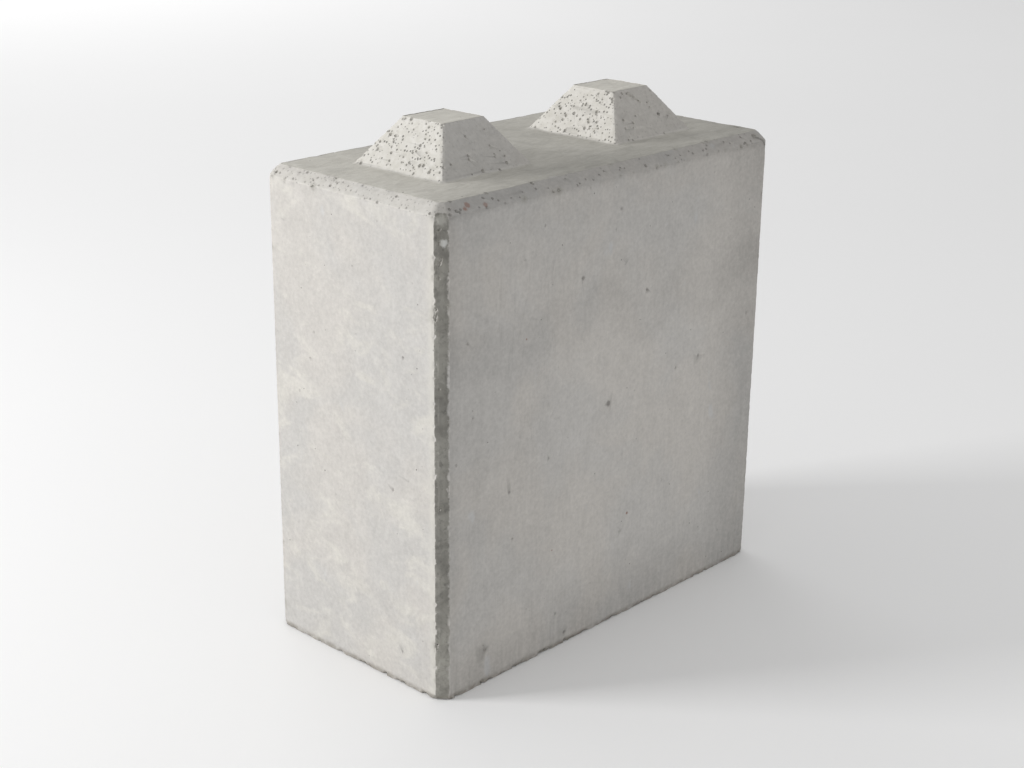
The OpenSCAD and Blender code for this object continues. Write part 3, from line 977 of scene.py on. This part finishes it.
def cast_concrete():
    material, sheet, shader = new_material("cast_concrete", Specular_IOR_Level=0.25)
    where = sheet.place()
    grain = use_group(sheet, "sand_grain", Size=0.0016)
    broad = sheet.noise(where, 0.20, 4.0, 0.5, 0.5)
    cloud = sheet.noise(where, 0.05, 6.0, 0.6, 0.8)
    fleck = sheet.noise(where, 0.013, 5.0, 0.65, 0.4)
    mottle = sheet.noise(where, 0.006, 3.0, 0.6)
    wisp = sheet.noise(sheet.place((1, 1, 1.8), (0.6, 0, 0)), 0.085, 6.0, 0.6, 0.7)
    tone, (x, y, z), facing_y, on_side = concrete_tone(sheet, cloud, fleck, mottle, grain)

    # paste colour: warm light grey that drifts to bluish grey, with cream wisps on the ends
    colour = sheet.mix(sheet.ramp(broad, 0.42, 0.62), WARM_PASTE, COOL_PASTE)
    cream = sheet.times(sheet.ramp(wisp, 0.5, 0.68), sheet.ramp(x, -0.3985, -0.3995))
    colour = sheet.mix(sheet.times(cream, 0.6), colour, CREAM_PASTE)
    colour = sheet.mix(1.0, colour, sheet.add("CombineXYZ", {"X": tone, "Y": tone, "Z": tone}).outputs[0], "MULTIPLY")
    smudge = sheet.times(sheet.ramp(wisp, 0.42, 0.25), sheet.ramp(cloud, 0.4, 0.6))
    colour = sheet.shade(colour, sheet.times(smudge, 0.4), 0.90)

    # thin wavering drip lines, and small bluish bleached smears
    drip = sheet.noise(sheet.place((1, 1, 0.22)), 0.075, 3.0, 0.5, 1.2)
    drip_line = sheet.band(drip, 0.498, 0.502, 0.006)
    drip_area = sheet.times(sheet.band(x, -0.27, -0.12, 0.06), sheet.band(z, 0.4, 0.66, 0.08), on_side)
    colour = sheet.shade(colour, sheet.times(drip_line, drip_area), 0.93)
    smear = sheet.ramp(sheet.noise(sheet.place((1, 1, 0.5)), 0.035, 2.0), 0.70, 0.80)
    colour = sheet.mix(sheet.times(smear, 0.35), colour, (0.56, 0.58, 0.60))

    # the trowelled landing and stud tops: darker, olive and brushed along the block
    brushed = sheet.noise(sheet.place((0.35, 1.2, 1)), 0.012, 6.0, 0.7, 1.2)
    olive = sheet.mix(sheet.ramp(brushed, 0.2, 0.75), LANDING_DARK, LANDING_LIGHT)
    olive = sheet.shade(olive, sheet.ramp(cloud, 0.50, 0.35), 0.90)
    # painted shadow of the left stud: the front of the landing right of that stud and the strip between the studs are
    # darkened; painted light lightens the landing's left part
    olive = sheet.shade(olive, sheet.times(sheet.ramp(y, -0.10, -0.15), sheet.ramp(x, -0.3, -0.1)), 0.86)
    olive = sheet.shade(olive, sheet.times(sheet.ramp(x, -0.20, -0.30), sheet.ramp(y, -0.16, -0.11)), 1.13)
    olive = sheet.shade(olive, sheet.band(x, -0.12, 0.08, 0.08), 0.93)
    # painted light: the stud tops are lightened
    olive = sheet.shade(olive, sheet.ramp(z, 0.84, 0.86), 1.2)
    trowelled = sheet.attribute("trowelled")
    colour = sheet.mix(trowelled, colour, olive)

    # a cream edge where the end meets the stained chamfer, and painted shade on the top chamfer of the end
    on_end = sheet.ramp(x, -0.3975, -0.3990)
    colour = sheet.mix(sheet.times(on_end, sheet.ramp(y, -0.165, -0.180), 0.6), colour, CREAM_PASTE)
    end_rim_shade = sheet.times(sheet.band(z, 0.784, 0.80, 0.004), sheet.ramp(x, -0.380, -0.384))
    colour = sheet.shade(colour, sheet.times(end_rim_shade, sheet.math("SUBTRACT", 1.0, trowelled)), 0.90)

    # slopes of pale paste, full of fine pin holes; painted light makes the slopes that face the key much paler than
    # the rest, and painted shade darkens the studs' front slopes
    shaded_stud_front = sheet.times(sheet.ramp(z, 0.800, 0.803), sheet.ramp(facing_y, -0.5, -0.7))
    colour = sheet.shade(colour, shaded_stud_front, 0.90)
    speckled_and_painted_light = sheet.attribute("speckled_and_painted_light")
    pale = sheet.mix(sheet.ramp(fleck, 0.3, 0.7), PALE_DARK, PALE_LIGHT)
    colour = sheet.mix(sheet.times(speckled_and_painted_light, 0.8), colour, pale)
    small = sheet.times(use_group(sheet, "pin_holes", Cell=0.0056, Radius=0.34, Share=0.85), speckled_and_painted_light)
    rare = use_group(sheet, "pin_holes", Cell=0.024, Radius=0.055, Share=0.5)
    holes = sheet.math("MAXIMUM", sheet.math("MAXIMUM", small, rare), sheet.attribute("hole"))

    # painted shade on the top chamfer of the near long side, mottled with darker blotches
    rim_shade_and_blotches = sheet.times(sheet.ramp(z, 0.768, 0.790), sheet.ramp(y, -0.17, -0.18),
                       sheet.math("ADD", 0.7, sheet.times(sheet.ramp(fleck, 0.35, 0.65), 0.3)))
    colour = sheet.shade(colour, sheet.times(rim_shade_and_blotches, sheet.math("SUBTRACT", 1.0, trowelled)), 0.73)

    # one upright chamfer has a greenish grout skin with pale lime spots
    ragged_x = sheet.math("ADD", x, sheet.times(sheet.math("SUBTRACT", fleck, 0.5), 0.014))
    skin = sheet.times(sheet.attribute("lime_skin"), sheet.ramp(ragged_x, -0.3825, -0.3860))
    grout = sheet.mix(sheet.ramp(cloud, 0.35, 0.65), GROUT_DARK, GROUT_LIGHT)
    grout = sheet.shade(grout, sheet.ramp(z, 0.25, 0.05), 1.3)
    grout = sheet.shade(grout, sheet.ramp(mottle, 0.52, 0.66), 0.8)
    colour = sheet.mix(sheet.times(skin, 0.9), colour, grout)
    colour = sheet.shade(colour, sheet.times(skin, sheet.ramp(fleck, 0.56, 0.68)), 0.7)
    lime = use_group(sheet, "spot", Centre=(-0.390, -0.194, 0.743), Radius=0.008)
    colour = sheet.mix(sheet.times(lime, 0.85), colour, (0.60, 0.60, 0.58))
    crust = use_group(sheet, "spot", Centre=(-0.392, -0.192, 0.777), Radius=0.011)
    colour = sheet.mix(sheet.times(crust, 0.7), colour, (0.42, 0.41, 0.375))

    # the foot: a dark, rusty-brown line, partly painted contact shadow along the floor and partly a rusty stain
    foot = sheet.times(sheet.ramp(z, 0.013, 0.002), sheet.ramp(fleck, 0.3, 0.6))
    colour = sheet.mix(sheet.times(foot, 0.6), colour, (0.19, 0.165, 0.13))

    # broken arrises; holes, coloured near black as painted shade for the hollow inside them; rust from iron specks
    colour = sheet.mix(sheet.times(sheet.attribute("broken"), 0.5), colour, (0.30, 0.29, 0.255))
    colour = sheet.mix(sheet.times(holes, 0.75), colour, (0.10, 0.095, 0.085))
    for place, radius, strength in RUST_SPOTS:
        rust = use_group(sheet, "spot", Centre=place, Radius=radius)
        colour = sheet.mix(sheet.times(rust, strength), colour, (0.25, 0.125, 0.09))
    sheet.feed(shader.inputs["Base Color"], colour)

    sheet.feed(shader.inputs["Roughness"], sheet.add("MapRange", {
        "Value": cloud, "From Min": 0.3, "From Max": 0.7, "To Min": 0.74, "To Max": 0.9}).outputs[0])
    height = sheet.math("ADD", sheet.times(grain, 0.25), sheet.times(fleck, 0.6))
    height = sheet.math("ADD", height, sheet.times(brushed, trowelled, 1.6))
    height = sheet.math("SUBTRACT", height, sheet.times(holes, 1.2))
    bump = sheet.add("Bump", {"Strength": 0.7, "Distance": 0.0008, "Height": height})
    sheet.feed(shader.inputs["Normal"], bump.outputs[0])
    return material


def rusty_steel():
    """Hot-rolled bar: grey-blue mill scale that flash rust has mostly taken over."""
    material, sheet, shader = new_material("rusty_bar", Specular_IOR_Level=0.4)
    rust = use_group(sheet, "rust_bloom", Size=0.012, Spread=0.56)
    fine = use_group(sheet, "sand_grain", Size=0.0008)
    scale = sheet.mix(fine, (0.10, 0.105, 0.115), (0.20, 0.205, 0.21))
    orange = sheet.mix(fine, (0.17, 0.062, 0.025), (0.36, 0.155, 0.065))
    sheet.feed(shader.inputs["Base Color"], sheet.mix(rust, scale, orange))
    sheet.feed(shader.inputs["Metallic"], sheet.ramp(rust, 0.7, 0.1))
    sheet.feed(shader.inputs["Roughness"], sheet.math("ADD", 0.45, sheet.times(rust, 0.45)))
    bump = sheet.add("Bump", {"Strength": 0.6, "Distance": 0.0003, "Height": fine})
    sheet.feed(shader.inputs["Normal"], bump.outputs[0])
    return material


def black_wire():
    """Black annealed tie wire, dull with oil and touched by rust."""
    material, sheet, shader = new_material("annealed_wire", Metallic=0.85, Specular_IOR_Level=0.4)
    rust = use_group(sheet, "rust_bloom", Size=0.006, Spread=0.4)
    fine = use_group(sheet, "sand_grain", Size=0.0005)
    black = sheet.mix(fine, (0.05, 0.05, 0.052), (0.12, 0.12, 0.12))
    sheet.feed(shader.inputs["Base Color"], sheet.mix(sheet.times(rust, 0.7), black, (0.22, 0.09, 0.04)))
    sheet.feed(shader.inputs["Roughness"], sheet.math("ADD", 0.4, sheet.times(rust, 0.4)))
    bump = sheet.add("Bump", {"Strength": 0.4, "Distance": 0.0001, "Height": fine})
    sheet.feed(shader.inputs["Normal"], bump.outputs[0])
    return material


def spacer_plastic():
    """Grey injection-moulded plastic, dusty with cement."""
    material, sheet, shader = new_material("spacer_plastic", Specular_IOR_Level=0.45)
    dust = sheet.noise(sheet.place(), 0.012, 6.0, 0.6)
    fine = use_group(sheet, "sand_grain", Size=0.0006)
    grey = sheet.mix(fine, (0.17, 0.18, 0.185), (0.21, 0.22, 0.225))
    sheet.feed(shader.inputs["Base Color"], sheet.mix(
        sheet.times(sheet.ramp(dust, 0.45, 0.7), 0.6), grey, (0.50, 0.49, 0.46)))
    sheet.feed(shader.inputs["Roughness"], sheet.math("ADD", 0.42, sheet.times(sheet.ramp(dust, 0.45, 0.7), 0.4)))
    bump = sheet.add("Bump", {"Strength": 0.3, "Distance": 0.0001, "Height": fine})
    sheet.feed(shader.inputs["Normal"], bump.outputs[0])
    return material


# ---- Stage, light and camera ----
def make_stage():
    bpy.ops.mesh.primitive_plane_add(size=60, location=(0, 0, 0))
    floor = bpy.context.object
    floor.name = "studio_floor"
    material, sheet, shader = new_material("pale_floor", Roughness=0.7, Specular_IOR_Level=0.2)
    tint = sheet.noise(sheet.place(), 1.5, 3)
    sheet.feed(shader.inputs["Base Color"], sheet.mix(tint, (0.90, 0.90, 0.90), (0.92, 0.92, 0.92)))
    floor.data.materials.append(material)


def soft_light(name, azimuth, elevation, distance, size, power, target):
    """A square softbox, at an azimuth measured as the camera's is."""
    a, e = math.radians(azimuth), math.radians(elevation)
    back = Vector((math.sin(a) * math.cos(e), -math.cos(a) * math.cos(e), math.sin(e)))
    light = bpy.data.lights.new(name, "AREA")
    light.shape = "SQUARE"
    light.size = size
    light.energy = power
    lamp = bpy.data.objects.new(name, light)
    bpy.context.scene.collection.objects.link(lamp)
    lamp.location = Vector(target) + back * distance
    lamp.rotation_euler = back.to_track_quat("Z", "Y").to_euler()
    return lamp


def make_light():
    soft_light("key_softbox", -128, 19, 5.5, 1.6, 180, (0, 0, TOP / 2))
    soft_light("background_softbox", 150, 80, 5.0, 6.0, 190, (3.5, 8.5, 0))
    world = bpy.data.worlds.new("studio")
    bpy.context.scene.world = world
    world.use_nodes = True
    background = world.node_tree.nodes["Background"]
    background.inputs["Color"].default_value = (1, 1, 1, 1)
    background.inputs["Strength"].default_value = 0.65


def make_camera():
    azimuth, elevation, roll = (math.radians(v) for v in (-46.82, 19.65, 0.66))
    back = Vector((math.sin(azimuth) * math.cos(elevation),
                   -math.cos(azimuth) * math.cos(elevation), math.sin(elevation)))
    right = Vector((0, 0, 1)).cross(back).normalized()
    up = back.cross(right)
    turned_right = math.cos(roll) * right + math.sin(roll) * up
    turned_up = math.cos(roll) * up - math.sin(roll) * right
    data = bpy.data.cameras.new("studio_camera")
    data.sensor_width = 36
    data.lens = 61.4
    data.clip_end = 200
    camera = bpy.data.objects.new("studio_camera", data)
    bpy.context.scene.collection.objects.link(camera)
    turn = Matrix((turned_right, turned_up, back)).transposed().to_4x4()
    camera.matrix_world = Matrix.Translation((-2.087, -1.924, 1.395)) @ turn
    bpy.context.scene.camera = camera
    bpy.context.scene.view_settings.view_transform = "Standard"


# ---- Build ----
casting = make_casting()
refine(casting)
skin = sculpt(casting)
thin_out(casting, 190000)
true_up_slopes(casting, skin)
mark_surface(casting, skin)
only(casting)
bpy.ops.object.shade_smooth_by_angle(angle=math.radians(35))
apply_modifier(casting, "WEIGHTED_NORMAL", keep_sharp=True, weight=90)
make_groups()
casting.data.materials.append(cast_concrete())
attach(casting, "root")
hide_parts("concrete_block")
make_cage()

make_stage()
make_light()
make_camera()
